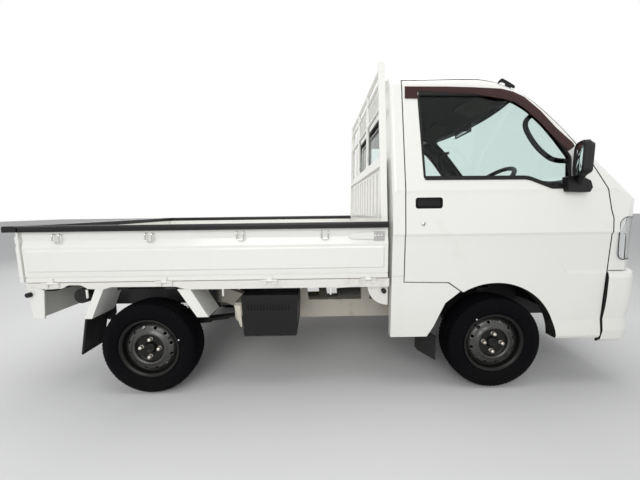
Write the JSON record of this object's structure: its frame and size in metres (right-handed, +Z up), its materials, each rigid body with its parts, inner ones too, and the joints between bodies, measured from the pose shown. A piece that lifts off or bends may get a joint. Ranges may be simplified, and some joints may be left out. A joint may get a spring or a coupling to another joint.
{
  "type": "kei truck",
  "caption": "Small flatbed truck with a forward cab, drop gates with black rail guards, and a guard frame behind the cab.",
  "frame": {"origin": "on the ground, under the middle of the whole length and width", "axes": "+X forward, +Y to the truck's left, +Z up"},
  "size_m": [3.416, 1.6602, 1.7969],
  "materials": {
    "body_paint": "warm white gloss paint, scuffed",
    "frame_paint": "satin chassis paint, dusty",
    "glass": "clear, slightly green",
    "visor_plastic": "smoked brown acrylic",
    "black_plastic": "grained black",
    "guard_rubber": "satin black",
    "lamp_clear": "clear lens over a bright reflector",
    "lamp_red": "red lens",
    "wiper_black": "satin black",
    "trim_grey": "grained dark grey",
    "lamp_inner": "satin grey housing with bright bowls",
    "seat_fabric": "woven dark grey",
    "steering_black": "grained black",
    "engine_cast": "cast, oily",
    "under_black": "satin black, dusty",
    "exhaust_steel": "heat stained",
    "wheel_steel": "dark brownish grey, worn",
    "tyre": "black rubber"
  },
  "bodies": {
    "body": {"battery_cover": "black_plastic", "bed_floor": "body_paint", "bed_frame": "body_paint", "cab_back": "body_paint", "cab_fittings": "trim_grey", "cab_floor": "trim_grey", "cab_front": "body_paint", "cab_glass": "glass", "cab_roof": "body_paint", "cab_sides": "body_paint", "chassis_rails": "frame_paint", "cross_members": "frame_paint", "dashboard": "trim_grey", "driveline": "engine_cast", "engine": "engine_cast", "exhaust": "exhaust_steel", "flaps_and_stops": "guard_rubber", "front_bumper": "body_paint", "front_suspension": "under_black", "fuel_tank": "under_black", "guard_frame": "body_paint", "headboard": "body_paint", "headlamps": "lamp_clear", "lamp_housings": "lamp_inner", "rail_brackets": "frame_paint", "rear_axle": "under_black", "rear_fenders": "body_paint", "rear_lamps": "lamp_red", "rear_panel": "body_paint", "rear_springs": "under_black", "seat_backs": "seat_fabric", "seat_cushions": "seat_fabric", "wipers": "wiper_black"},
    "door_right": {"door_right": "body_paint", "door_glass_right": "glass", "door_visor_right": "visor_plastic", "door_mirror_right": "black_plastic"},
    "door_left": {"door_left": "body_paint", "door_glass_left": "glass", "door_visor_left": "visor_plastic", "door_mirror_left": "black_plastic"},
    "gate_right": {"gate_right": "body_paint", "gate_guard_right": "guard_rubber"},
    "gate_left": {"gate_left": "body_paint", "gate_guard_left": "guard_rubber"},
    "tailgate": {"tailgate": "body_paint", "tailgate_guard": "guard_rubber"},
    "steering_wheel": {"steering_wheel": "steering_black"},
    "steering_rack": {"steering_rack": "under_black"},
    "knuckle_right": {"knuckle_right": "under_black"},
    "knuckle_left": {"knuckle_left": "under_black"},
    "wheel_front_right": {"rim_front_right": "wheel_steel", "tyre_front_right": "tyre"},
    "wheel_front_left": {"rim_front_left": "wheel_steel", "tyre_front_left": "tyre"},
    "wheel_rear_right": {"rim_rear_right": "wheel_steel", "tyre_rear_right": "tyre"},
    "wheel_rear_left": {"rim_rear_left": "wheel_steel", "tyre_rear_left": "tyre"}
  },
  "joints": [
    {"name": "door_right_hinge", "type": "hinge", "parent": "body", "child": "door_right", "pos_m": [1.449, -0.7385, 0.8], "axis": [0, 0, 1], "range_deg": [0, 65]},
    {"name": "door_left_hinge", "type": "hinge", "parent": "body", "child": "door_left", "pos_m": [1.449, 0.7385, 0.8], "axis": [0, 0, -1], "range_deg": [0, 65]},
    {"name": "gate_right_hinge", "type": "hinge", "parent": "body", "child": "gate_right", "pos_m": [-0.676, -0.732, 0.641], "axis": [1, 0, 0], "range_deg": [0, 175]},
    {"name": "gate_left_hinge", "type": "hinge", "parent": "body", "child": "gate_left", "pos_m": [-0.676, 0.732, 0.641], "axis": [-1, 0, 0], "range_deg": [0, 175]},
    {"name": "tailgate_hinge", "type": "hinge", "parent": "body", "child": "tailgate", "pos_m": [-1.664, 0, 0.641], "axis": [0, -1, 0], "range_deg": [0, 175]},
    {"name": "steering_wheel_turn", "type": "hinge", "parent": "body", "child": "steering_wheel", "pos_m": [1, -0.345, 1.14], "axis": [-0.6428, 0, 0.766], "range_deg": [-528, 528]},
    {"name": "steering_rack_slide", "type": "slide", "parent": "body", "child": "steering_rack", "axis": [0, 1, 0], "range_m": [-0.0639, 0.0639]},
    {"name": "knuckle_right_steer", "type": "hinge", "parent": "body", "child": "knuckle_right", "pos_m": [0.8735, -0.545, 0.262], "axis": [0, 0, 1], "range_deg": [-33.2, 33.2]},
    {"name": "knuckle_left_steer", "type": "hinge", "parent": "body", "child": "knuckle_left", "pos_m": [0.8735, 0.545, 0.262], "axis": [0, 0, 1], "range_deg": [-33.2, 33.2]},
    {"name": "wheel_front_right_spin", "type": "hinge", "parent": "knuckle_right", "child": "wheel_front_right", "pos_m": [0.8735, -0.6525, 0.262], "axis": [0, 1, 0], "continuous": true},
    {"name": "wheel_front_left_spin", "type": "hinge", "parent": "knuckle_left", "child": "wheel_front_left", "pos_m": [0.8735, 0.6525, 0.262], "axis": [0, 1, 0], "continuous": true},
    {"name": "wheel_rear_right_spin", "type": "hinge", "parent": "body", "child": "wheel_rear_right", "pos_m": [-1.0265, -0.6525, 0.262], "axis": [0, 1, 0], "continuous": true},
    {"name": "wheel_rear_left_spin", "type": "hinge", "parent": "body", "child": "wheel_rear_left", "pos_m": [-1.0265, 0.6525, 0.262], "axis": [0, 1, 0], "continuous": true}
  ],
  "couplings": [
    {"joint": "knuckle_right_steer", "follows": "steering_wheel_turn", "ratio": 0.0625},
    {"joint": "knuckle_left_steer", "follows": "steering_wheel_turn", "ratio": 0.0625},
    {"joint": "steering_rack_slide", "follows": "steering_wheel_turn", "m_per_rad": 0.006875}
  ]
}
